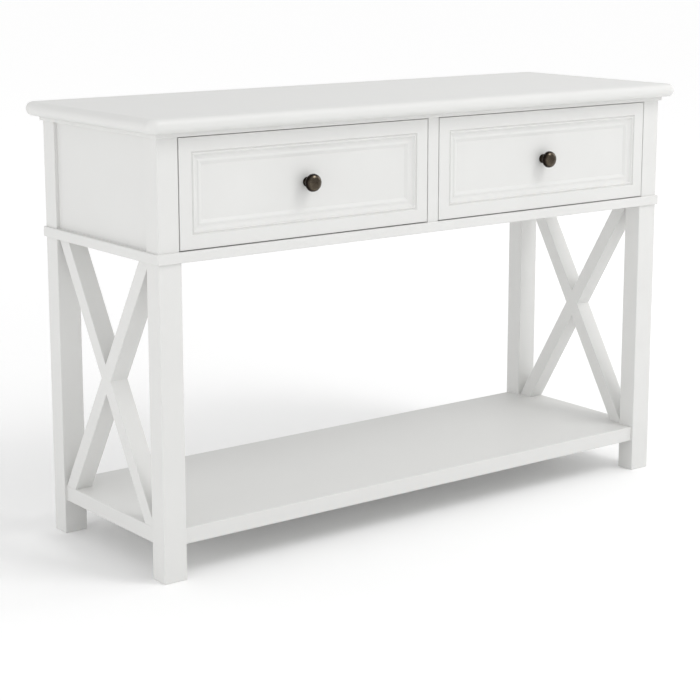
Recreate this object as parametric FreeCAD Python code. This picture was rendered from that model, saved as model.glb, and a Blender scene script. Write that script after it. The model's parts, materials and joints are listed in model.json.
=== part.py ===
"""Console table with two drawers: one STEP file per piece, in millimetres.

Frame: +Z up, +X along the table's length to the right, the drawers open along -Y.
The origin is on the floor under the middle of the table top.
"""
import os
import math
import FreeCAD, Part

V = FreeCAD.Vector

# ---- driving dimensions, mm ----
# Table top and the thin board under it
TOP_LENGTH = 1200.0
TOP_DEPTH = 430.0
TOP_THICK = 25.0
TOP_CORNER_R = 18.0
TOP_OVERHANG = 26.0
NOSE_FLAT = 0.4
SUB_TOP_THICK = 8.0
SUB_TOP_OVERHANG = 5.0

# Drawer case
CASE_HEIGHT = 187.0
POST_WIDTH = 40.0
POST_DEPTH = 38.0
PANEL_THICK = 12.0
PANEL_SETBACK = 7.0
TONGUE = 6.0
STILE_WIDTH = 24.0
STILE_DEPTH = 20.0
RAIL_HEIGHT = 70.0

# Waist board, legs, shelf and braces
WAIST_THICK = 18.0
WAIST_OVERHANG = 4.0
LEG_HEIGHT = 540.0
LEG_WIDTH = 44.0
LEG_DEPTH = 38.0
SHELF_BOTTOM = 61.0
SHELF_THICK = 28.0
SHELF_INSET = 5.0
BRACE_WIDTH = 27.0
BRACE_THICK = 34.0
EDGE_R = 1.5

# Drawers
FRONT_THICK = 18.0
FRONT_GAP = 1.6
FRAME_WIDTH = 23.5
QUIRK_WALL = 1.3
QUIRK_DEPTH = 2.4
QUIRK_FLOOR = 0.6
BEAD_FLANK = 2.2
BEAD_RISE = 1.8
BEAD_TOP = 1.0
COVE_WIDTH = 8.6
COVE_DEPTH = 5.0
COVE_BOW = 1.4
STEP_FLOOR = 0.7
STEP_FLANK = 1.3
STEP_RISE = 0.7
STEP_TOP = 2.4
BEVEL_WIDTH = 5.4
BEVEL_DEPTH = 3.0
BOX_BACK_ROOM = 11.0
BOX_HEADROOM = 30.0
BOX_LIFT = 12.0
BOARD = 12.0
BOTTOM_THICK = 5.0
BOTTOM_LIFT = 10.0
GROOVE = 6.0

# Knob, turned about its own axis
KNOB_R = 15.5
KNOB_HEIGHT = 28.0
KNOB_BASE_R = 8.5
KNOB_BASE_HEIGHT = 2.8
KNOB_NECK_R = 6.0
KNOB_NECK_BOW = 0.6
KNOB_NECK_HEIGHT = 9.5
KNOB_UNDER_INSET = 1.2
KNOB_UNDER_HEIGHT = 15.7
KNOB_RIM_INSET = 0.6
KNOB_RIM_HEIGHT = 20.7
KNOB_SCREW_REACH = 12.5
KNOB_SCREW_HEAD = 2.4

# Telescopic slides, which come in lengths of whole steps
SLIDE_STEP = 50.0
SLIDE_THICK = 12.7
SLIDE_HEIGHT = 45.0
SLIDE_WALL = 1.2
SLIDE_PLAY = 2.2
SLIDE_START = 3.0

# Fasteners
BOLT_R = 4.0
BOLT_GRIP = 45.0
DOWEL_R = 4.0
DOWEL_GRIP = 22.0
SMALL_DOWEL_R = 3.0
SMALL_DOWEL_GRIP = 10.0
SCREW_R = 2.0
SCREW_HEAD_R = 4.0
BRACE_GRIP = 14.0
TOP_GRIP = 14.0
LONG_GRIP = 25.0
RAIL_GRIP = 8.0
TOP_SCREW_INSET = 34.0
SLIDE_SCREW_LENGTH = 9.0
SLIDE_SCREW_HEAD = 1.0
SLIDE_SCREW_HEAD_R = 3.2
SLIDE_SCREW_SHARES = (0.12, 0.5, 0.88)
HOLE_CLEARANCE = 0.1
OVERCUT = 1.0

# Tests on edges
ALIGNED = 0.999
LEVEL_TOLERANCE = 1e-4

# ---- places that follow from them ----
HALF_X = TOP_LENGTH / 2 - TOP_OVERHANG
HALF_Y = TOP_DEPTH / 2 - TOP_OVERHANG
WAIST_TOP = LEG_HEIGHT + WAIST_THICK
CASE_TOP = WAIST_TOP + CASE_HEIGHT
SUB_TOP_TOP = CASE_TOP + SUB_TOP_THICK
HEIGHT = SUB_TOP_TOP + TOP_THICK
SHELF_TOP = SHELF_BOTTOM + SHELF_THICK
BAY_OUT = HALF_X - POST_WIDTH
BAY_IN = STILE_WIDTH / 2
BAY_MID = (BAY_OUT + BAY_IN) / 2
BAY_Z = WAIST_TOP + CASE_HEIGHT / 2
FRONT_Y = -HALF_Y
PANEL_OUT = HALF_X - PANEL_SETBACK
PANEL_IN = PANEL_OUT - PANEL_THICK
BACK_OUT = HALF_Y - PANEL_SETBACK
BACK_IN = BACK_OUT - PANEL_THICK
POST_IN_Y = HALF_Y - POST_DEPTH
SCREW_Y = POST_IN_Y * 3 / 4
LEG_MID_X = HALF_X - LEG_WIDTH / 2
LEG_MID_Y = HALF_Y - LEG_DEPTH / 2
LEG_IN_X = HALF_X - LEG_WIDTH
LEG_IN_Y = HALF_Y - LEG_DEPTH
BRACE_OUT = HALF_X - SHELF_INSET
BRACE_IN = BRACE_OUT - BRACE_THICK
BRACE_MID = (BRACE_OUT + BRACE_IN) / 2

FRONT_HALF_X = (BAY_OUT - BAY_IN) / 2 - FRONT_GAP
FRONT_HALF_Z = CASE_HEIGHT / 2 - FRONT_GAP
FRONT_BACK = FRONT_Y + FRONT_THICK
QUIRK_END = FRAME_WIDTH + QUIRK_WALL + QUIRK_FLOOR
BEAD_START = QUIRK_END + BEAD_FLANK
BEAD_DEPTH = QUIRK_DEPTH - BEAD_RISE
BEAD_END = BEAD_START + BEAD_TOP
COVE_END = BEAD_END + COVE_WIDTH
COVE_BOTTOM = BEAD_DEPTH + COVE_DEPTH
STEP_START = COVE_END + STEP_FLOOR
STEP_DEPTH = COVE_BOTTOM - STEP_RISE
STEP_END = STEP_START + STEP_FLANK + STEP_TOP
BEVEL_END = STEP_END + BEVEL_WIDTH
PANEL_DEPTH = STEP_DEPTH + BEVEL_DEPTH
KNOB_SEAT = FRONT_Y + PANEL_DEPTH

BOX_HALF_X = (BAY_OUT - BAY_IN) / 2 - SLIDE_THICK
BOX_BACK = BACK_IN - BOX_BACK_ROOM
BOX_Z0 = WAIST_TOP + BOX_LIFT
BOX_Z1 = CASE_TOP - BOX_HEADROOM
BOX_HEIGHT = BOX_Z1 - BOX_Z0
SLIDE_LENGTH = SLIDE_STEP * math.floor((BOX_BACK - FRONT_BACK - SLIDE_START) / SLIDE_STEP)
SLIDE_Z = BOX_Z0 + BOX_HEIGHT / 2
SLIDE_Y0 = FRONT_BACK + SLIDE_START
SLIDE_Y1 = SLIDE_Y0 + SLIDE_LENGTH

SIDES = {"left": -1, "right": 1}
ENDS = {"front": -1, "rear": 1}

parts = {}


# ---- small helpers ----
def box(x, y, z):
    """A box from three (from, to) pairs, each in either order."""
    lows = [min(pair) for pair in (x, y, z)]
    sizes = [max(pair) - min(pair) for pair in (x, y, z)]
    return Part.makeBox(*sizes, V(*lows))


def along(shape, axis):
    """The straight edges of a shape that run along an axis."""
    return [edge for edge in shape.Edges
            if isinstance(edge.Curve, Part.Line)
            and abs(edge.Curve.Direction.dot(axis)) > ALIGNED]


def eased(shape, axis, radius=EDGE_R):
    """The shape with its edges along an axis rounded."""
    return shape.makeFillet(radius, along(shape, axis))


def level_edges(shape, levels):
    """The edges that lie wholly at one of the given heights."""
    return [edge for edge in shape.Edges
            for level in levels
            if abs(edge.BoundBox.ZMin - level) < LEVEL_TOLERANCE
            and abs(edge.BoundBox.ZMax - level) < LEVEL_TOLERANCE]


def board(half_x, half_y, z0, z1, corner_r, edge_r):
    """A level board with rounded plan corners and rounded top and bottom edges."""
    plate = box((-half_x, half_x), (-half_y, half_y), (z0, z1))
    plate = eased(plate, V(0, 0, 1), corner_r)
    return plate.makeFillet(edge_r, level_edges(plate, (z0, z1)))


def rod(start, direction, radius, length):
    return Part.makeCylinder(radius, length, start, direction)


def screw(start, direction, length):
    """A countersunk screw whose flat head starts at the surface, and the hole that it sits in."""
    cone = SCREW_HEAD_R - SCREW_R
    head = Part.makeCone(SCREW_HEAD_R, SCREW_R, cone, start, direction)
    tail = start + direction * cone
    shank = rod(tail, direction, SCREW_R, length - cone)
    hole = rod(tail, direction, SCREW_R + HOLE_CLEARANCE, length - cone)
    return head.fuse(shank).removeSplitter(), head.fuse(hole)


def peg(start, direction, radius, length):
    """A plain dowel or bolt, and the hole that it sits in."""
    return rod(start, direction, radius, length), rod(start, direction, radius + HOLE_CLEARANCE, length)


def fasten(group, hosts, pair):
    """Adds a fastener to its group and cuts its hole in each piece that it passes through."""
    fastener, hole = pair
    parts.setdefault(group, []).append(fastener)
    for host in hosts:
        parts[host] = parts[host].cut(hole)


# ---- table top, shelf, waist board ----
def make_boards():
    nose_r = (TOP_THICK - NOSE_FLAT) / 2
    parts["table_top"] = board(TOP_LENGTH / 2, TOP_DEPTH / 2, SUB_TOP_TOP, HEIGHT, TOP_CORNER_R, nose_r)
    parts["sub_top_board"] = board(HALF_X + SUB_TOP_OVERHANG, HALF_Y + SUB_TOP_OVERHANG,
                                   CASE_TOP, SUB_TOP_TOP, EDGE_R + 1, EDGE_R)
    parts["waist_board"] = board(HALF_X + WAIST_OVERHANG, HALF_Y + WAIST_OVERHANG,
                                 LEG_HEIGHT, WAIST_TOP, EDGE_R + 1, EDGE_R)


def make_shelf():
    """The shelf, notched round the four legs."""
    half_x = HALF_X - SHELF_INSET
    half_y = HALF_Y - SHELF_INSET
    shelf = box((-half_x, half_x), (-half_y, half_y), (SHELF_BOTTOM, SHELF_TOP))
    shelf = shelf.makeFillet(EDGE_R, level_edges(shelf, (SHELF_BOTTOM, SHELF_TOP)))
    for side in SIDES.values():
        for end in ENDS.values():
            notch = box((side * LEG_IN_X, side * HALF_X), (end * LEG_IN_Y, end * HALF_Y),
                        (SHELF_BOTTOM - OVERCUT, SHELF_TOP + OVERCUT))
            shelf = shelf.cut(notch)
    parts["shelf"] = shelf


# ---- legs and braces ----
def make_legs():
    for side_name, side in SIDES.items():
        for end_name, end in ENDS.items():
            leg = box((side * LEG_IN_X, side * HALF_X), (end * LEG_IN_Y, end * HALF_Y), (0, LEG_HEIGHT))
            parts[f"leg_{end_name}_{side_name}"] = eased(leg, V(0, 0, 1))


def brace_foot(span, rise):
    """How wide the level cut at a brace's end is, for a bar that just fits span by rise."""
    k = (BRACE_WIDTH / rise) ** 2
    b = 2 * span * k
    c = BRACE_WIDTH ** 2 + k * span ** 2
    return (math.sqrt(b * b + 4 * (1 - k) * c) - b) / (2 * (1 - k))


def brace_bar(side, lean, foot):
    """A diagonal bar from the shelf to the waist board that leans to the rear (1) or the front (-1)."""
    outline = [(-LEG_IN_Y, SHELF_TOP), (-LEG_IN_Y + foot, SHELF_TOP),
               (LEG_IN_Y, LEG_HEIGHT), (LEG_IN_Y - foot, LEG_HEIGHT)]
    corners = [V(side * BRACE_IN, lean * y, z) for y, z in outline]
    face = Part.Face(Part.makePolygon(corners + corners[:1]))
    return face.extrude(V(side * BRACE_THICK, 0, 0))


def make_braces():
    """Two bars at each end, half lapped where they cross so that both faces stay flush."""
    foot = brace_foot(2 * LEG_IN_Y, LEG_HEIGHT - SHELF_TOP)
    for side_name, side in SIDES.items():
        rearward = brace_bar(side, 1, foot)
        forward = brace_bar(side, -1, foot)
        crossing = rearward.common(forward)
        rows = ((-HALF_Y, HALF_Y), (SHELF_TOP, LEG_HEIGHT))
        outer_half = crossing.common(box((side * BRACE_MID, side * BRACE_OUT), *rows))
        inner_half = crossing.common(box((side * BRACE_IN, side * BRACE_MID), *rows))
        parts[f"brace_rearward_{side_name}"] = rearward.cut(inner_half)
        parts[f"brace_forward_{side_name}"] = forward.cut(outer_half)
        for end in ENDS.values():
            foot_y = end * (LEG_IN_Y - foot / 2)
            foot_brace = "forward" if end > 0 else "rearward"
            head_brace = "rearward" if end > 0 else "forward"
            fasten("brace_screws", ["shelf", f"brace_{foot_brace}_{side_name}"],
                   screw(V(side * BRACE_MID, foot_y, SHELF_BOTTOM), V(0, 0, 1), SHELF_THICK + BRACE_GRIP))
            fasten("brace_screws", ["waist_board", f"brace_{head_brace}_{side_name}"],
                   screw(V(side * BRACE_MID, foot_y, WAIST_TOP), V(0, 0, -1), WAIST_THICK + BRACE_GRIP))


# ---- drawer case ----
def make_posts():
    """Corner posts, grooved for the side panels and, at the rear, for the back panel."""
    for side_name, side in SIDES.items():
        for end_name, end in ENDS.items():
            post = box((side * BAY_OUT, side * HALF_X), (end * POST_IN_Y, end * HALF_Y),
                       (WAIST_TOP, CASE_TOP))
            post = eased(post, V(0, 0, 1))
            post = post.cut(box((side * PANEL_IN, side * PANEL_OUT),
                                (end * (POST_IN_Y - OVERCUT), end * (POST_IN_Y + TONGUE)),
                                (WAIST_TOP, CASE_TOP)))
            if end > 0:
                post = post.cut(box((side * (BAY_OUT - OVERCUT), side * (BAY_OUT + TONGUE)),
                                    (BACK_IN, BACK_OUT), (WAIST_TOP, CASE_TOP)))
            parts[f"post_{end_name}_{side_name}"] = post


def make_case_panels():
    rows = (WAIST_TOP, CASE_TOP)
    reach_y = POST_IN_Y + TONGUE
    reach_x = BAY_OUT + TONGUE
    for side_name, side in SIDES.items():
        parts[f"side_panel_{side_name}"] = box((side * PANEL_IN, side * PANEL_OUT), (-reach_y, reach_y), rows)
        rail = box((side * BAY_OUT, side * PANEL_IN), (-POST_IN_Y, POST_IN_Y),
                   (SLIDE_Z - RAIL_HEIGHT / 2, SLIDE_Z + RAIL_HEIGHT / 2))
        parts[f"runner_rail_{side_name}"] = rail
    parts["back_panel"] = box((-reach_x, reach_x), (BACK_IN, BACK_OUT), rows)
    stile = box((-BAY_IN, BAY_IN), (FRONT_Y, FRONT_Y + STILE_DEPTH), rows)
    parts["centre_stile"] = eased(stile, V(0, 0, 1), EDGE_R / 2)
    parts["centre_partition"] = box((-BAY_IN, BAY_IN), (FRONT_Y + STILE_DEPTH, BACK_IN), rows)


def fasten_case():
    """Bolts, dowels and screws that hold the case, the top, the legs and the shelf together."""
    up = V(0, 0, 1)
    for side_name, side in SIDES.items():
        for end_name, end in ENDS.items():
            leg = f"leg_{end_name}_{side_name}"
            post = f"post_{end_name}_{side_name}"
            joint = [leg, "waist_board", post]
            centre = V(side * LEG_MID_X, end * LEG_MID_Y, LEG_HEIGHT)
            fasten("leg_bolts", joint,
                   peg(centre - up * BOLT_GRIP, up, BOLT_R, 2 * BOLT_GRIP + WAIST_THICK))
            fasten("leg_dowels", joint,
                   peg(centre + V(side * LEG_WIDTH / 4, 0, -DOWEL_GRIP), up, DOWEL_R,
                       2 * DOWEL_GRIP + WAIST_THICK))
            for share in (1 / 4, 3 / 4):
                spot = V(side * (LEG_IN_X - DOWEL_GRIP), end * (LEG_IN_Y + share * (LEG_DEPTH - SHELF_INSET)),
                         (SHELF_BOTTOM + SHELF_TOP) / 2)
                fasten("shelf_dowels", [leg, "shelf"], peg(spot, V(side, 0, 0), DOWEL_R, 2 * DOWEL_GRIP))
            fasten("sub_top_screws", ["sub_top_board", post],
                   screw(V(side * LEG_MID_X, end * LEG_MID_Y, SUB_TOP_TOP), -up, SUB_TOP_THICK + LONG_GRIP))
            for x in (BAY_IN + TOP_SCREW_INSET, BAY_OUT - TOP_SCREW_INSET):
                fasten("top_screws", ["sub_top_board", "table_top"],
                       screw(V(side * x, end * (POST_IN_Y - TOP_SCREW_INSET / 2), CASE_TOP), up,
                             SUB_TOP_THICK + TOP_GRIP))
        for y in (-SCREW_Y, 0, SCREW_Y):
            height = SLIDE_Z + (SLIDE_HEIGHT + RAIL_HEIGHT) / 4
            fasten("rail_screws", [f"runner_rail_{side_name}", f"side_panel_{side_name}"],
                   screw(V(side * BAY_OUT, y, height), V(side, 0, 0),
                         PANEL_IN - BAY_OUT + RAIL_GRIP))
    for y in (-SCREW_Y, SCREW_Y):
        fasten("partition_screws", ["waist_board", "centre_partition"],
               screw(V(0, y, LEG_HEIGHT), up, WAIST_THICK + LONG_GRIP))
    for z in (WAIST_TOP + CASE_HEIGHT / 4, CASE_TOP - CASE_HEIGHT / 4):
        fasten("partition_screws", ["back_panel", "centre_partition"],
               screw(V(0, BACK_OUT, z), V(0, -1, 0), PANEL_THICK + LONG_GRIP))


# ---- drawers ----
def profile_edges(profile, place, half, sign):
    """Edges of one side of a moulding. Each run of (inset, depth) points is a line or a bow."""
    edges = []
    for run in profile:
        points = [place(sign * (half - inset), depth) for inset, depth in run]
        edges.append(Part.makeLine(*points) if len(run) == 2 else Part.Arc(*points).toShape())
    return edges, place(sign * (half - profile[0][0][0]), profile[0][0][1]), points[-1]


def profile_prism(profile, place, half, sweep):
    """A straight prism with the moulding's section at both sides."""
    left, left_top, left_end = profile_edges(profile, place, half, -1)
    right, right_top, right_end = profile_edges(profile, place, half, 1)
    edges = left + right + [Part.makeLine(left_end, right_end), Part.makeLine(left_top, right_top)]
    return Part.Face(Part.Wire(Part.__sortEdges__(edges))).extrude(sweep)


def mitred(mid_x, profile):
    """The profile carried round a drawer front: two crossed prisms meet in mitred corners."""
    upright = profile_prism(profile, lambda a, d: V(mid_x + a, FRONT_Y + d, BAY_Z - FRONT_HALF_Z),
                            FRONT_HALF_X, V(0, 0, 2 * FRONT_HALF_Z))
    level = profile_prism(profile, lambda a, d: V(mid_x - FRONT_HALF_X, FRONT_Y + d, BAY_Z + a),
                          FRONT_HALF_Z, V(2 * FRONT_HALF_X, 0, 0))
    return upright.common(level)


def mould(front, mid_x):
    """Cuts the quirk, raises the bead, cuts the cove, raises the step and cuts the bevel."""
    chord = math.hypot(COVE_WIDTH, COVE_DEPTH)
    cove_mid = (BEAD_END + COVE_WIDTH / 2 - COVE_BOW * COVE_DEPTH / chord,
                BEAD_DEPTH + COVE_DEPTH / 2 + COVE_BOW * COVE_WIDTH / chord)
    quirk = [[(FRAME_WIDTH, -OVERCUT), (FRAME_WIDTH, 0)],
             [(FRAME_WIDTH, 0), (FRAME_WIDTH + QUIRK_WALL, QUIRK_DEPTH)]]
    bead = [[(BEAD_START, BEAD_DEPTH), (QUIRK_END, QUIRK_DEPTH)]]
    cove = [[(BEAD_END, -OVERCUT), (BEAD_END, BEAD_DEPTH)],
            [(BEAD_END, BEAD_DEPTH), cove_mid, (COVE_END, COVE_BOTTOM)]]
    step = [[(STEP_START + STEP_FLANK, STEP_DEPTH), (STEP_START, COVE_BOTTOM)]]
    bevel = [[(STEP_END, -OVERCUT), (STEP_END, STEP_DEPTH)],
             [(STEP_END, STEP_DEPTH), (BEVEL_END, PANEL_DEPTH)]]
    front = front.cut(mitred(mid_x, quirk)).fuse(mitred(mid_x, bead)).cut(mitred(mid_x, cove))
    return front.fuse(mitred(mid_x, step)).cut(mitred(mid_x, bevel))


def make_drawer_box(name, mid_x):
    """The front, two sides, the back and the bottom, which sits in grooves in all four."""
    front = box((mid_x - FRONT_HALF_X, mid_x + FRONT_HALF_X), (FRONT_Y, FRONT_BACK),
                (BAY_Z - FRONT_HALF_Z, BAY_Z + FRONT_HALF_Z))
    front_rim = [edge for edge in front.Edges if edge.BoundBox.YMax < FRONT_Y + OVERCUT]
    front = mould(front.makeFillet(EDGE_R / 2, front_rim), mid_x)
    inner = BOX_HALF_X - BOARD
    rows = (BOX_Z0, BOX_Z1)
    bottom_z = BOX_Z0 + BOTTOM_LIFT
    bottom = box((mid_x - inner - GROOVE, mid_x + inner + GROOVE),
                 (FRONT_BACK - GROOVE, BOX_BACK - BOARD + GROOVE), (bottom_z, bottom_z + BOTTOM_THICK))
    parts[f"drawer_front_{name}"] = front.cut(bottom)
    for hand, sign in SIDES.items():
        side = box((mid_x + sign * inner, mid_x + sign * BOX_HALF_X), (FRONT_BACK, BOX_BACK), rows)
        parts[f"drawer_{name}_side_{hand}"] = side.cut(bottom)
    back = box((mid_x - inner, mid_x + inner), (BOX_BACK - BOARD, BOX_BACK), rows)
    parts[f"drawer_back_{name}"] = back.cut(bottom)
    parts[f"drawer_bottom_{name}"] = bottom


def fasten_drawer(name, mid_x):
    for hand, sign in SIDES.items():
        side = f"drawer_{name}_side_{hand}"
        for share in (1 / 4, 3 / 4):
            z = BOX_Z0 + share * BOX_HEIGHT
            x = mid_x + sign * (BOX_HALF_X - BOARD / 2)
            fasten(f"drawer_dowels_{name}", [side, f"drawer_front_{name}"],
                   peg(V(x, FRONT_BACK + SMALL_DOWEL_GRIP, z), V(0, -1, 0),
                       SMALL_DOWEL_R, 2 * SMALL_DOWEL_GRIP))
            fasten(f"drawer_back_screws_{name}", [side, f"drawer_back_{name}"],
                   screw(V(mid_x + sign * BOX_HALF_X, BOX_BACK - BOARD / 2, z), V(-sign, 0, 0),
                         BOARD + LONG_GRIP))


def make_knob(name, mid_x):
    """A mushroom knob on the sunk panel, and the screw that holds it from inside the drawer."""
    def at(radius, height):
        return V(mid_x + radius, KNOB_SEAT - height, BAY_Z)

    base, neck, under, rim = KNOB_BASE_HEIGHT, KNOB_NECK_HEIGHT, KNOB_UNDER_HEIGHT, KNOB_RIM_HEIGHT
    under_r = KNOB_R - KNOB_UNDER_INSET
    under_mid = at((KNOB_NECK_R + KNOB_R) / 2 - KNOB_UNDER_INSET, (neck + under) / 2 + KNOB_UNDER_INSET)
    rim_r = KNOB_R - KNOB_RIM_INSET
    crown = KNOB_HEIGHT - rim
    dome_r = (rim_r ** 2 + crown ** 2) / (2 * crown)
    half_turn = math.asin(rim_r / dome_r) / 2
    dome_mid = at(dome_r * math.sin(half_turn), KNOB_HEIGHT - dome_r * (1 - math.cos(half_turn)))
    edges = [Part.makeLine(at(0, 0), at(KNOB_BASE_R, 0)),
             Part.makeLine(at(KNOB_BASE_R, 0), at(KNOB_BASE_R, base)),
             Part.Arc(at(KNOB_BASE_R, base), at(KNOB_NECK_R + KNOB_NECK_BOW, (base + neck) / 2),
                      at(KNOB_NECK_R, neck)).toShape(),
             Part.Arc(at(KNOB_NECK_R, neck), under_mid, at(under_r, under)).toShape(),
             Part.Arc(at(under_r, under), at(KNOB_R, (under + rim) / 2), at(rim_r, rim)).toShape(),
             Part.Arc(at(rim_r, rim), dome_mid, at(0, KNOB_HEIGHT)).toShape(),
             Part.makeLine(at(0, KNOB_HEIGHT), at(0, 0))]
    face = Part.Face(Part.Wire(Part.__sortEdges__(edges)))
    parts[f"knob_{name}"] = face.revolve(at(0, 0), V(0, 1, 0), 360)
    reach = FRONT_THICK - PANEL_DEPTH + KNOB_SCREW_REACH
    head = rod(V(mid_x, FRONT_BACK + KNOB_SCREW_HEAD, BAY_Z), V(0, -1, 0), SCREW_HEAD_R, KNOB_SCREW_HEAD)
    shank, hole = peg(V(mid_x, FRONT_BACK, BAY_Z), V(0, -1, 0), SCREW_R, reach)
    fasten(f"knob_screw_{name}", [f"drawer_front_{name}", f"knob_{name}"],
           (head.fuse(shank).removeSplitter(), hole))


# ---- telescopic slides ----
def channel(face_x, inward, web, flange_end, half, start, end):
    """A C section along Y: web and flange_end are distances from the slide's cabinet face."""
    def x(u):
        return face_x + inward * u

    y = (start, end)
    back = box((x(web[0]), x(web[1])), y, (SLIDE_Z - half, SLIDE_Z + half))
    upper = box((x(web[0]), x(flange_end)), y, (SLIDE_Z + half - SLIDE_WALL, SLIDE_Z + half))
    lower = box((x(web[0]), x(flange_end)), y, (SLIDE_Z - half, SLIDE_Z - half + SLIDE_WALL))
    return back.fuse([upper, lower]).removeSplitter()


def make_slides(name, mid_x):
    """A cabinet, a middle and a drawer member at each side of a drawer, nested with running play."""
    half_bay = (BAY_OUT - BAY_IN) / 2
    half = SLIDE_HEIGHT / 2
    step = SLIDE_WALL + SLIDE_PLAY
    tip = SLIDE_THICK - SLIDE_PLAY
    members = {"cabinet": [], "middle": [], "drawer": []}
    for sign in SIDES.values():
        face_x = mid_x + sign * half_bay
        members["cabinet"].append(
            channel(face_x, -sign, (0, SLIDE_WALL), tip - SLIDE_PLAY / 2, half, SLIDE_Y0, SLIDE_Y1))
        members["middle"].append(
            channel(face_x, -sign, (step, step + SLIDE_WALL), tip, half - step, SLIDE_Y0, SLIDE_Y1))
        members["drawer"].append(
            channel(face_x, -sign, (SLIDE_THICK, SLIDE_THICK - SLIDE_WALL), 2 * step, half - 2 * step,
                    SLIDE_Y0, SLIDE_Y1))
    for member, solids in members.items():
        parts[f"slide_{member}_{name}"] = Part.makeCompound(solids)
    fasten_slides(name, mid_x)


def slide_screw(start, direction):
    """A low-headed screw that stands on a slide's web, and its hole."""
    head = rod(start - direction * SLIDE_SCREW_HEAD, direction, SLIDE_SCREW_HEAD_R, SLIDE_SCREW_HEAD)
    shank, hole = peg(start, direction, SCREW_R, SLIDE_SCREW_LENGTH)
    return head.fuse(shank).removeSplitter(), hole


def fasten_slides(name, mid_x):
    half_bay = (BAY_OUT - BAY_IN) / 2
    for hand, sign in SIDES.items():
        outer = hand == name
        for share in SLIDE_SCREW_SHARES:
            y = SLIDE_Y0 + share * SLIDE_LENGTH
            if outer:
                wall = f"post_front_{name}" if y < -POST_IN_Y else f"runner_rail_{name}"
            else:
                wall = "centre_partition"
            face = V(mid_x + sign * (half_bay - SLIDE_WALL), y, SLIDE_Z)
            fasten(f"slide_cabinet_screws_{name}", [f"slide_cabinet_{name}", wall],
                   slide_screw(face, V(sign, 0, 0)))
            face = V(mid_x + sign * (half_bay - SLIDE_THICK + SLIDE_WALL), y, SLIDE_Z)
            fasten(f"slide_drawer_screws_{name}", [f"slide_drawer_{name}", f"drawer_{name}_side_{hand}"],
                   slide_screw(face, V(-sign, 0, 0)))


def write_parts():
    os.makedirs("parts", exist_ok=True)
    for name, shape in parts.items():
        if isinstance(shape, list):
            shape = Part.makeCompound(shape)
        shape.exportStep(f"parts/{name}.step")
        print(name, len(shape.Solids), "solids, valid", shape.isValid())


make_boards()
make_shelf()
make_legs()
make_braces()
make_posts()
make_case_panels()
fasten_case()
for drawer_name, drawer_side in SIDES.items():
    make_drawer_box(drawer_name, drawer_side * BAY_MID)
    fasten_drawer(drawer_name, drawer_side * BAY_MID)
    make_knob(drawer_name, drawer_side * BAY_MID)
    make_slides(drawer_name, drawer_side * BAY_MID)
write_parts()
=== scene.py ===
"""The looks of the console table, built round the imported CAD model. Lengths are in metres."""
import json
import math

import bmesh
import bpy
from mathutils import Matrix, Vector


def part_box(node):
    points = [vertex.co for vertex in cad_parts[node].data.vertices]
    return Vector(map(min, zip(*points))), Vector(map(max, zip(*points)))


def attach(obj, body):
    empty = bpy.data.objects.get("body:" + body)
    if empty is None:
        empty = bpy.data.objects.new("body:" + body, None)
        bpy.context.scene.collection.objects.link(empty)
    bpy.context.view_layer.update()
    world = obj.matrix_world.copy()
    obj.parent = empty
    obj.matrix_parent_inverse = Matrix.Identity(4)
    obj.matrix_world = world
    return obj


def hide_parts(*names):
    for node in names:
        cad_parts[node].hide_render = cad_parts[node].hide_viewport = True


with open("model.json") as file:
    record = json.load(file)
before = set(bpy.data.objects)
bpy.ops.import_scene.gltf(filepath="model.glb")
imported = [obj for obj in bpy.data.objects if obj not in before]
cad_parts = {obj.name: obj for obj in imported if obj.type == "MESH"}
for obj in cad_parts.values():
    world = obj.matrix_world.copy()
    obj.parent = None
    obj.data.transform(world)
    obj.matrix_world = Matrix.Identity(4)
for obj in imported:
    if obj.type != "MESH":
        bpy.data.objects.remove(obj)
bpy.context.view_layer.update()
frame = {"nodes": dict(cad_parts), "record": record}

NODES = frame["nodes"]
HANDS = ("left", "right")
ENDS = ("front", "rear")
SMOOTH_ANGLE = math.radians(40)

# Table top
NOSE_STEPS = 20
CORNER_STEPS = 14
TOP_CORNER_R = 0.018

# Eased edges of painted timber
EASE = 0.0015
BRACE_EASE = 0.0011
EASE_STEPS = 4

# Lengths that count as nothing: in a comparison of corners, and above the foot of a brace
TINY = 1e-6
FOOT_BAND = 1e-5

# Drawer front: its moulding as (inset, depth) steps from the face of the frame to the sunk panel
FRAME_WIDTH = 0.0235
FRONT_EASE = 0.0008
QUIRK = ((0.0013, 0.0024), (0.0006, 0.0))
BEAD = ((0.0022, -0.0018), (0.0010, 0.0))
COVE = (0.0086, 0.0050)
COVE_BOW = 0.0014
STEP = ((0.0007, 0.0), (0.0013, -0.0007), (0.0024, 0.0))
BEVEL = (0.0054, 0.0030)
COVE_STEPS = 8

# Paint in an inner corner: its radius, and the most of a side that the rounding may take
PAINT_SOFTNESS = 0.0003
SOFT_SHARE = 0.45

# Knob: radii as shares of its own radius, and the levels of its parts as shares of its height
KNOB_BASE = 0.548
KNOB_NECK = 0.40
KNOB_UNDER = 0.93
KNOB_LEVELS = (0.10, 0.34, 0.56, 0.74)
KNOB_SOFTNESS = 0.0006
KNOB_STEPS = 72
KNOB_TIP_R = 0.00005
KNOB_FOOT_STEPS = 4
KNOB_NECK_STEPS = 8
KNOB_UNDER_STEPS = 10
KNOB_RIM_STEPS = 9
KNOB_RIM_TURN = 150
KNOB_CROWN_STEPS = 18

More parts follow.
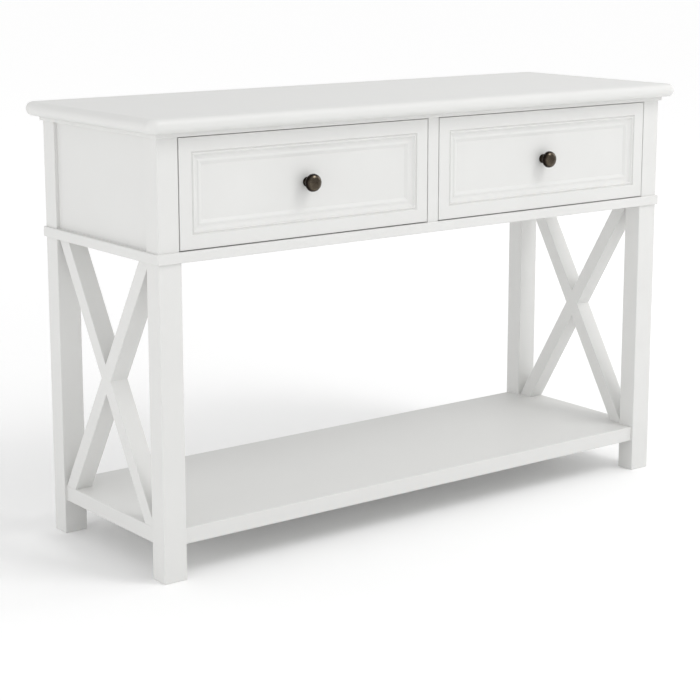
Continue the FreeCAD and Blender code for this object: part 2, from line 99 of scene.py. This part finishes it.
# Bronze: its colour at each share of the knob's height, which every corner of the mesh carries. It is
# nearly black in the neck and under the head, partly patina in the hollow and partly painted shade. A
# painted dark band of shade runs round the rim, and a painted highlight ring sits on the crown round a
# middle lighter than the rim.
HEIGHT_SHARE = "height_share"
BRONZE_PATINA_AND_PAINTED_SHEEN_BY_HEIGHT = [(0.0, (0.024, 0.019, 0.015)), (0.34, (0.042, 0.034, 0.026)),
                    (0.58, (0.022, 0.017, 0.013)), (0.80, (0.014, 0.010, 0.008)),
                    (0.91, (0.112, 0.093, 0.070)), (1.0, (0.062, 0.050, 0.038))]

# Finishes: (usual colour, darker colour) of the paint and the timbers, and the colour of the zinc
PAINT = ((0.712, 0.712, 0.699), (0.697, 0.697, 0.684))
BOARD = ((0.70, 0.60, 0.46), (0.62, 0.51, 0.37))
RAW_WOOD = ((0.66, 0.53, 0.37), (0.55, 0.42, 0.28))
BEECH = ((0.68, 0.52, 0.36), (0.60, 0.45, 0.30))
SLIDE_ZINC = (0.62, 0.63, 0.65)
SCREW_ZINC = (0.55, 0.55, 0.56)
ZINC_DARKER = 0.82
NOISE_RANGE = (0.3, 0.7)

# Camera: where it stands, its turn to the right of +Y and its tilt down, in degrees
CAMERA_PLACE = (-2.0776, -2.6663, 1.0567)
CAMERA_TURN = 37.35
CAMERA_TILT = 11.048
CAMERA_LENS = 93.664
CAMERA_SENSOR = 36
CAMERA_SHIFT = -0.08

# Lights: where each soft disc stands, its diameter and its power. All face AIM.
AIM = (0, 0, 0.5)
LIGHTS = {
    "key_right_high": ((1.75, -3.0, 4.0), 2.0, 51.0),
    "above_front": ((0.8, -1.7, 3.4), 1.2, 9.0),
    "left_low": ((-4.2, -0.8, 1.1), 2.2, 21.0),
    "right": ((3.4, -0.6, 2.0), 2.0, 18.0),
}

# Room and floor: (height of the direction, grey level), and the glow as distances, then strengths
ROOM_LEVELS = ((0.12, 0.98), (0.32, 0.73), (0.6, 0.76))
FLOOR_REACH = 30
FLOOR_COLOUR = (0.97, 0.97, 0.97)
FLOOR_GLOW = (0.5, 4.0, 0.03, 0.24)


# ---- materials ----
def new_material(name):
    """An empty node material: its shader and a function that adds a node with some values set."""
    material = bpy.data.materials.new(name)
    material.use_nodes = True
    tree = material.node_tree
    shader = tree.nodes["Principled BSDF"]

    def add(kind, **values):
        node = tree.nodes.new(kind)
        for key, value in values.items():
            if key in node.inputs:
                node.inputs[key].default_value = value
            else:
                setattr(node, key, value)
        return node

    return material, shader, add, tree.links.new


def stretched_coordinates(add, link, stretch):
    """Object coordinates scaled by three factors, so that a grain runs along the smallest."""
    coordinates = add("ShaderNodeTexCoord")
    mapping = add("ShaderNodeMapping")
    mapping.inputs["Scale"].default_value = stretch
    link(coordinates.outputs["Object"], mapping.inputs["Vector"])
    return mapping.outputs["Vector"]


def set_stops(ramp, stops):
    """Gives a colour ramp its (place, colour) stops."""
    while len(ramp.color_ramp.elements) < len(stops):
        ramp.color_ramp.elements.new(0.5)
    for element, (place, colour) in zip(ramp.color_ramp.elements, stops):
        element.position = place
        element.color = (*colour, 1)


def colour_ramp(add, link, factor, stops):
    ramp = add("ShaderNodeValToRGB")
    set_stops(ramp, stops)
    link(factor, ramp.inputs["Fac"])
    return ramp.outputs["Color"]


def set_range(ranged, values):
    """Gives a map range its two limits to read from, then its two limits to write to."""
    for key, value in zip(("From Min", "From Max", "To Min", "To Max"), values):
        ranged.inputs[key].default_value = value


def spread(add, link, factor, low, high):
    """A value that runs from low to high as a noise factor runs over its usual range."""
    ranged = add("ShaderNodeMapRange")
    set_range(ranged, (*NOISE_RANGE, low, high))
    link(factor, ranged.inputs["Value"])
    return ranged.outputs["Result"]


def bumped(add, link, shader, layers):
    """Stacks bumps, each a (height, distance) pair, onto a shader's normal."""
    normal = None
    for height, distance in layers:
        bump = add("ShaderNodeBump", Distance=distance, Strength=1.0)
        link(height, bump.inputs["Height"])
        if normal is not None:
            link(normal, bump.inputs["Normal"])
        normal = bump.outputs["Normal"]
    link(normal, shader.inputs["Normal"])


def lacquer(name, colour, shade):
    """Semi-matte sprayed lacquer over primed board: faint orange peel, fine tooth and cloudy sheen."""
    material, shader, add, link = new_material(name)
    place = stretched_coordinates(add, link, (1, 1, 1))
    cloud = add("ShaderNodeTexNoise", Scale=7.0, Detail=3.0, Roughness=0.55)
    peel = add("ShaderNodeTexNoise", Scale=260.0, Detail=2.0, Roughness=0.5)
    tooth = add("ShaderNodeTexNoise", Scale=1900.0, Detail=2.0, Roughness=0.6)
    for noise in (cloud, peel, tooth):
        link(place, noise.inputs["Vector"])
    link(colour_ramp(add, link, cloud.outputs["Fac"], [(0.3, shade), (0.7, colour)]),
         shader.inputs["Base Color"])
    link(spread(add, link, cloud.outputs["Fac"], 0.40, 0.48), shader.inputs["Roughness"])
    bumped(add, link, shader, [(peel.outputs["Fac"], 0.000006), (tooth.outputs["Fac"], 0.0000015)])
    shader.inputs["Specular IOR Level"].default_value = 0.45
    return material


def timber(name, light, dark, along, roughness):
    """Planed pale timber or board: long grain with fine pores, along axis 0, 1 or 2."""
    material, shader, add, link = new_material(name)
    grain_scale = [34.0, 34.0, 34.0]
    grain_scale[along] = 1.6
    pore_scale = [900.0, 900.0, 900.0]
    pore_scale[along] = 30.0
    grain = add("ShaderNodeTexNoise", Scale=1.0, Detail=5.0, Roughness=0.6, Distortion=0.8)
    pores = add("ShaderNodeTexNoise", Scale=1.0, Detail=2.0, Roughness=0.7)
    link(stretched_coordinates(add, link, grain_scale), grain.inputs["Vector"])
    link(stretched_coordinates(add, link, pore_scale), pores.inputs["Vector"])
    tone = colour_ramp(add, link, grain.outputs["Fac"], [(0.32, dark), (0.5, light), (0.68, dark)])
    fleck = add("ShaderNodeMix", data_type="RGBA", blend_type="MULTIPLY")
    fleck.inputs["Factor"].default_value = 0.35
    link(tone, fleck.inputs["A"])
    link(colour_ramp(add, link, pores.outputs["Fac"], [(0.34, (0.62, 0.56, 0.5)), (0.5, (1, 1, 1))]),
         fleck.inputs["B"])
    link(fleck.outputs["Result"], shader.inputs["Base Color"])
    link(spread(add, link, pores.outputs["Fac"], roughness + 0.08, roughness - 0.04),
         shader.inputs["Roughness"])
    bumped(add, link, shader, [(grain.outputs["Fac"], 0.00005), (pores.outputs["Fac"], 0.00003)])
    return material


def plated_steel(name, colour, along, roughness):
    """Zinc-plated steel, drawn along one axis."""
    material, shader, add, link = new_material(name)
    draw_scale = [700.0, 700.0, 700.0]
    draw_scale[along] = 12.0
    lines = add("ShaderNodeTexNoise", Scale=1.0, Detail=3.0, Roughness=0.6)
    spangle = add("ShaderNodeTexNoise", Scale=120.0, Detail=2.0)
    link(stretched_coordinates(add, link, draw_scale), lines.inputs["Vector"])
    link(stretched_coordinates(add, link, (1, 1, 1)), spangle.inputs["Vector"])
    darker = tuple(c * ZINC_DARKER for c in colour)
    link(colour_ramp(add, link, spangle.outputs["Fac"], [(0.35, darker), (0.65, colour)]),
         shader.inputs["Base Color"])
    link(spread(add, link, lines.outputs["Fac"], roughness - 0.06, roughness + 0.08),
         shader.inputs["Roughness"])
    bumped(add, link, shader, [(lines.outputs["Fac"], 0.00001)])
    shader.inputs["Metallic"].default_value = 1.0
    return material


def bronze_patina_and_painted_sheen(name):
    """Bronze: a nearly black patina in the neck, painted shade under the head and round the rim, and a
    painted highlight ring on the crown.
    """
    material, shader, add, link = new_material(name)
    place = stretched_coordinates(add, link, (1, 1, 1))
    patina = add("ShaderNodeTexNoise", Scale=220.0, Detail=4.0, Roughness=0.6)
    cast = add("ShaderNodeTexNoise", Scale=900.0, Detail=2.0)
    link(place, patina.inputs["Vector"])
    link(place, cast.inputs["Vector"])
    height = add("ShaderNodeAttribute", attribute_name=HEIGHT_SHARE)
    mottled = add("ShaderNodeMix", data_type="RGBA", blend_type="MULTIPLY")
    mottled.inputs["Factor"].default_value = 1.0
    # the colour by height paints shade under the head and round the rim, and a highlight ring on the
    # crown, over the patina of the neck
    link(colour_ramp(add, link, height.outputs["Fac"], BRONZE_PATINA_AND_PAINTED_SHEEN_BY_HEIGHT), mottled.inputs["A"])
    link(colour_ramp(add, link, patina.outputs["Fac"], [(0.35, (0.72, 0.70, 0.68)), (0.6, (1, 1, 1))]),
         mottled.inputs["B"])
    link(mottled.outputs["Result"], shader.inputs["Base Color"])
    link(spread(add, link, patina.outputs["Fac"], 0.27, 0.17), shader.inputs["Roughness"])
    bumped(add, link, shader, [(patina.outputs["Fac"], 0.00002), (cast.outputs["Fac"], 0.000006)])
    shader.inputs["Metallic"].default_value = 1.0
    return material


# ---- mesh helpers ----
def finish_piece(name, mesh, node_names, body, material, weighted=True):
    """Links a piece, shades it smooth between sharp edges, and lets it stand for its CAD nodes."""
    mesh.shade_smooth()
    mesh.set_sharp_from_angle(angle=SMOOTH_ANGLE)
    mesh.materials.append(material)
    piece = bpy.data.objects.new(name, mesh)
    bpy.context.scene.collection.objects.link(piece)
    if weighted:
        normals = piece.modifiers.new("even_normals", "WEIGHTED_NORMAL")
        normals.keep_sharp = True
    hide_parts(*node_names)
    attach(piece, body)
    return piece


def mesh_from_rings(name, rings):
    """A closed mesh through rings of equal length, with a face across the first and the last."""
    size = len(rings[0])
    points = [point for ring in rings for point in ring]
    faces = []
    for level in range(len(rings) - 1):
        for step in range(size):
            after = (step + 1) % size
            faces.append((level * size + step, level * size + after,
                          (level + 1) * size + after, (level + 1) * size + step))
    faces.append(tuple(reversed(range(size))))
    faces.append(tuple((len(rings) - 1) * size + step for step in range(size)))
    mesh = bpy.data.meshes.new(name)
    mesh.from_pydata(points, [], faces)
    shape = bmesh.new()
    shape.from_mesh(mesh)
    bmesh.ops.recalc_face_normals(shape, faces=shape.faces)
    shape.to_mesh(mesh)
    shape.free()
    return mesh


def rounded_ring(half_x, half_y, corner_r, z):
    """A level ring round a rectangle with rounded corners."""
    ring = []
    for quarter, (sign_x, sign_y) in enumerate(((1, 1), (-1, 1), (-1, -1), (1, -1))):
        for step in range(CORNER_STEPS + 1):
            angle = math.radians(90) * (quarter + step / CORNER_STEPS)
            ring.append((sign_x * (half_x - corner_r) + corner_r * math.cos(angle),
                         sign_y * (half_y - corner_r) + corner_r * math.sin(angle), z))
    return ring


def eased_box_mesh(name, low, high, ease, square_top=False):
    """A box with rounded edges, which keeps its top edges square where it meets another piece."""
    shape = bmesh.new()
    bmesh.ops.create_cube(shape, size=1)
    for corner in shape.verts:
        corner.co = Vector((low[i] + (corner.co[i] + 0.5) * (high[i] - low[i]) for i in range(3)))
    edges = [edge for edge in shape.edges
             if not (square_top and all(abs(end.co.z - high.z) < TINY for end in edge.verts))]
    bmesh.ops.bevel(shape, geom=edges, offset=ease, segments=EASE_STEPS, profile=0.5, affect="EDGES")
    mesh = bpy.data.meshes.new(name)
    shape.to_mesh(mesh)
    shape.free()
    return mesh


# ---- the pieces ----
def make_top(paint):
    """The table top with its half-round nosing swept round the softly rounded corners."""
    low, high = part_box("table_top")
    nose = (high.z - low.z) / 2
    rings = []
    for step in range(NOSE_STEPS + 1):
        angle = math.radians(-90 + 180 * step / NOSE_STEPS)
        inset = nose * (1 - math.cos(angle))
        rings.append(rounded_ring(high.x - inset, high.y - inset, TOP_CORNER_R - inset,
                                  low.z + nose + nose * math.sin(angle)))
    mesh = mesh_from_rings("painted_top", rings)
    finish_piece("painted_top", mesh, ["table_top"], "frame", paint)


def make_legs(paint):
    for end in ENDS:
        for hand in HANDS:
            node = f"leg_{end}_{hand}"
            mesh = eased_box_mesh(f"painted_{node}", *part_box(node), EASE, square_top=True)
            finish_piece(f"painted_{node}", mesh, [node], "frame", paint)


def brace_outline(half, foot, low_z, high_z):
    """The outline of two crossed bars, as (y, z) points: the feet, the heads and the four crotches."""
    run = 2 * half - foot
    rise = high_z - low_z
    low_crotch = low_z + rise * (half - foot) / run
    high_crotch = low_z + rise * half / run
    middle = (low_z + high_z) / 2
    return [(-half, low_z), (-half + foot, low_z), (0, low_crotch), (half - foot, low_z), (half, low_z),
            (foot / 2, middle), (half, high_z), (half - foot, high_z), (0, high_crotch),
            (-half + foot, high_z), (-half, high_z), (-foot / 2, middle)]


def make_braces(paint):
    """The crossed braces of each end, with eased edges that stop where the bars are flush."""
    for hand in HANDS:
        node = f"brace_rearward_{hand}"
        low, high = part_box(node)
        feet = [v.co.y for v in NODES[node].data.vertices if v.co.z < low.z + FOOT_BAND]
        outline = brace_outline(high.y, max(feet) - min(feet), low.z, high.z)
        shape = bmesh.new()
        near = [shape.verts.new((low.x, y, z)) for y, z in outline]
        face = shape.faces.new(near)
        moved = bmesh.ops.extrude_face_region(shape, geom=[face])["geom"]
        for corner in moved:
            if isinstance(corner, bmesh.types.BMVert):
                corner.co.x = high.x
        bmesh.ops.recalc_face_normals(shape, faces=shape.faces)
        eased = [edge for edge in shape.edges
                 if abs(edge.verts[0].co.x - edge.verts[1].co.x) < TINY
                 and abs(edge.verts[0].co.z - edge.verts[1].co.z) > TINY]
        bmesh.ops.bevel(shape, geom=eased, offset=BRACE_EASE, segments=EASE_STEPS, profile=0.5,
                        affect="EDGES")
        mesh = bpy.data.meshes.new(f"painted_braces_{hand}")
        shape.to_mesh(mesh)
        shape.free()
        finish_piece(f"painted_braces_{hand}", mesh, [node, f"brace_forward_{hand}"], "frame",
                     paint)


def bowed(start, end, bow):
    """Points from start to end along a shallow hollow curve."""
    across = Vector((start.y - end.y, end.x - start.x)).normalized()
    return [start.lerp(end, k / COVE_STEPS) + across * bow * 4 * (k / COVE_STEPS) * (1 - k / COVE_STEPS)
            for k in range(1, COVE_STEPS + 1)]


def softened(points, radius):
    """The same outline with every inner corner rounded, as paint rounds it."""
    soft = [points[0]]
    for before, corner, after in zip(points, points[1:], points[2:]):
        start = corner.lerp(before, min(SOFT_SHARE, radius / (before - corner).length))
        end = corner.lerp(after, min(SOFT_SHARE, radius / (after - corner).length))
        soft += [start, start.lerp(corner, 0.5).lerp(corner.lerp(end, 0.5), 0.5), end]
    return soft + [points[-1]]


def front_profile(thickness):
    """The drawer front's section as (inset, depth) points, from its back edge to the sunk panel."""
    rim = [Vector((0, thickness))]
    for step in range(EASE_STEPS + 1):
        angle = math.radians(90) * step / EASE_STEPS
        rim.append(Vector((FRONT_EASE * (1 - math.cos(angle)), FRONT_EASE * (1 - math.sin(angle)))))
    moulding = [rim[-1], Vector((FRAME_WIDTH, 0))]
    for step in (*QUIRK, *BEAD):
        moulding.append(moulding[-1] + Vector(step))
    moulding += bowed(moulding[-1], moulding[-1] + Vector(COVE), COVE_BOW)
    for step in (*STEP, BEVEL):
        moulding.append(moulding[-1] + Vector(step))
    moulding.append(moulding[-1] + Vector((FRAME_WIDTH, 0)))
    return rim + softened(moulding, PAINT_SOFTNESS)[1:]


def make_drawer_front(hand, paint):
    """The moulded front, its section swept round the rectangle with crisp mitred corners."""
    low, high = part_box(f"drawer_front_{hand}")
    rings = [[(low.x + i, low.y + d, low.z + i), (high.x - i, low.y + d, low.z + i),
              (high.x - i, low.y + d, high.z - i), (low.x + i, low.y + d, high.z - i)]
             for i, d in front_profile(high.y - low.y)]
    mesh = mesh_from_rings(f"painted_front_{hand}", rings)
    finish_piece(f"painted_front_{hand}", mesh, [f"drawer_front_{hand}"], f"drawer_{hand}",
                 paint)
    for edge in mesh.edges:
        reach = mesh.vertices[edge.vertices[0]].co - mesh.vertices[edge.vertices[1]].co
        if abs(reach.x) > TINY and abs(reach.z) > TINY:
            edge.use_edge_sharp = True


def knob_profile(radius, height):
    """The knob's outline as (radius, height) points, from its seat to the middle of the crown."""
    base_r, neck_r = radius * KNOB_BASE, radius * KNOB_NECK
    base, neck, under, rim = (height * share for share in KNOB_LEVELS)
    soft = KNOB_SOFTNESS
    points = [(base_r - soft / 2, 0), (base_r, soft / 2), (base_r, base - soft)]
    for step in range(1, KNOB_FOOT_STEPS + 1):
        angle = math.radians(90) * step / KNOB_FOOT_STEPS
        points.append((base_r - soft * (1 - math.cos(angle)), base - soft + soft * math.sin(angle)))
    collar_r = points[-1][0]
    for step in range(1, KNOB_NECK_STEPS + 1):
        t = step / KNOB_NECK_STEPS
        points.append((collar_r + (neck_r - collar_r) * math.sin(t * math.pi / 2),
                       base + (neck - base) * t))
    under_r = radius * KNOB_UNDER
    for step in range(1, KNOB_UNDER_STEPS + 1):
        angle = math.radians(90) * step / KNOB_UNDER_STEPS
        points.append((neck_r + (under_r - neck_r) * (1 - math.cos(angle)),
                       neck + (under - neck) * math.sin(angle)))
    middle, half = (under + rim) / 2, (rim - under) / 2
    for step in range(1, KNOB_RIM_STEPS + 1):
        angle = math.radians(-90 + KNOB_RIM_TURN * step / KNOB_RIM_STEPS)
        points.append((under_r + (radius - under_r) * math.cos(angle), middle + half * math.sin(angle)))
    rim_r, rim = points[-1]
    for step in range(1, KNOB_CROWN_STEPS + 1):
        angle = math.radians(90) * step / KNOB_CROWN_STEPS
        points.append((rim_r * math.cos(angle), rim + (height - rim) * math.sin(angle)))
    return points


def make_knob(hand, bronze):
    node = f"knob_{hand}"
    low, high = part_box(node)
    radius, height = (high.x - low.x) / 2, high.y - low.y
    centre = (low + high) / 2
    rings, shares = [], []
    for r, h in knob_profile(radius, height):
        r = max(r, KNOB_TIP_R)
        shares += [h / height] * KNOB_STEPS
        rings.append([(centre.x + r * math.cos(2 * math.pi * k / KNOB_STEPS), high.y - h,
                       centre.z + r * math.sin(2 * math.pi * k / KNOB_STEPS))
                      for k in range(KNOB_STEPS)])
    mesh = mesh_from_rings(f"bronze_knob_{hand}", rings)
    mesh.attributes.new(HEIGHT_SHARE, "FLOAT", "POINT").data.foreach_set("value", shares)
    finish_piece(f"bronze_knob_{hand}", mesh, [node], f"drawer_{hand}", bronze,
                 weighted=False)


def dress_cad_nodes(by_slot, board_across):
    """Gives every CAD node that still shows the material of its slot."""
    slots = {row["node"]: row["material_slot"] for row in frame["record"]["subparts"]}
    for name, node in NODES.items():
        across = "back" in name or "bottom" in name
        material = board_across if slots[name] == "drawer_board" and across else by_slot[slots[name]]
        node.data.materials.clear()
        node.data.materials.append(material)


# ---- stage, lights, camera ----
def make_stage():
    """A plain pale floor, lit from within towards its far edge so that it meets the white room."""
    mesh = bpy.data.meshes.new("floor")
    corners = [(-FLOOR_REACH, -FLOOR_REACH, 0), (FLOOR_REACH, -FLOOR_REACH, 0),
               (FLOOR_REACH, FLOOR_REACH, 0), (-FLOOR_REACH, FLOOR_REACH, 0)]
    mesh.from_pydata(corners, [], [(0, 1, 2, 3)])
    floor = bpy.data.objects.new("floor", mesh)
    bpy.context.scene.collection.objects.link(floor)
    material, shader, add, link = new_material("pale_floor")
    place = add("ShaderNodeTexCoord").outputs["Object"]
    distance = add("ShaderNodeVectorMath", operation="LENGTH")
    link(place, distance.inputs[0])
    glow = add("ShaderNodeMapRange")
    set_range(glow, FLOOR_GLOW)
    link(distance.outputs["Value"], glow.inputs["Value"])
    link(glow.outputs["Result"], shader.inputs["Emission Strength"])
    shader.inputs["Emission Color"].default_value = (1, 1, 1, 1)
    shader.inputs["Base Color"].default_value = (*FLOOR_COLOUR, 1)
    shader.inputs["Roughness"].default_value = 0.9
    shader.inputs["Specular IOR Level"].default_value = 0.1
    mesh.materials.append(material)


def make_lights():
    """A white room, dimmer above the horizon, with large soft discs round the front."""
    world = bpy.data.worlds.new("white_room")
    bpy.context.scene.world = world
    world.use_nodes = True
    tree = world.node_tree
    direction = tree.nodes.new("ShaderNodeTexCoord")
    height = tree.nodes.new("ShaderNodeSeparateXYZ")
    ramp = tree.nodes.new("ShaderNodeValToRGB")
    set_stops(ramp, [(place, (level,) * 3) for place, level in ROOM_LEVELS])
    tree.links.new(direction.outputs["Generated"], height.inputs["Vector"])
    tree.links.new(height.outputs["Z"], ramp.inputs["Fac"])
    tree.links.new(ramp.outputs["Color"], tree.nodes["Background"].inputs["Color"])
    for name, (place, size, power) in LIGHTS.items():
        data = bpy.data.lights.new(name, "AREA")
        data.shape = "DISK"
        data.size = size
        data.energy = power
        light = bpy.data.objects.new(name, data)
        light.location = place
        light.rotation_euler = (Vector(AIM) - Vector(place)).to_track_quat("-Z", "Y").to_euler()
        bpy.context.scene.collection.objects.link(light)


def make_camera():
    data = bpy.data.cameras.new("camera")
    data.lens = CAMERA_LENS
    data.sensor_width = CAMERA_SENSOR
    data.shift_y = CAMERA_SHIFT
    camera = bpy.data.objects.new("camera", data)
    camera.location = CAMERA_PLACE
    camera.rotation_euler = (math.radians(90 - CAMERA_TILT), 0, math.radians(-CAMERA_TURN))
    bpy.context.scene.collection.objects.link(camera)
    bpy.context.scene.camera = camera


def main():
    paint = lacquer("white_lacquer_finish", *PAINT)
    bronze = bronze_patina_and_painted_sheen("bronze_patina_and_painted_sheen_finish")
    by_slot = {
        "white_lacquer": paint,
        "knob_bronze": bronze,
        "drawer_board": timber("pale_board_along", *BOARD, 1, 0.5),
        "raw_wood": timber("raw_timber", *RAW_WOOD, 1, 0.6),
        "beech": timber("beech_dowel", *BEECH, 0, 0.6),
        "slide_steel": plated_steel("slide_zinc", SLIDE_ZINC, 1, 0.32),
        "screw_steel": plated_steel("screw_zinc", SCREW_ZINC, 2, 0.35),
    }
    board_across = timber("pale_board_across", *BOARD, 0, 0.5)
    make_camera()
    dress_cad_nodes(by_slot, board_across)
    make_top(paint)
    make_legs(paint)
    make_braces(paint)
    for hand in HANDS:
        make_drawer_front(hand, paint)
        make_knob(hand, bronze)
    make_stage()
    make_lights()
    bpy.context.scene.view_settings.view_transform = "Standard"


main()
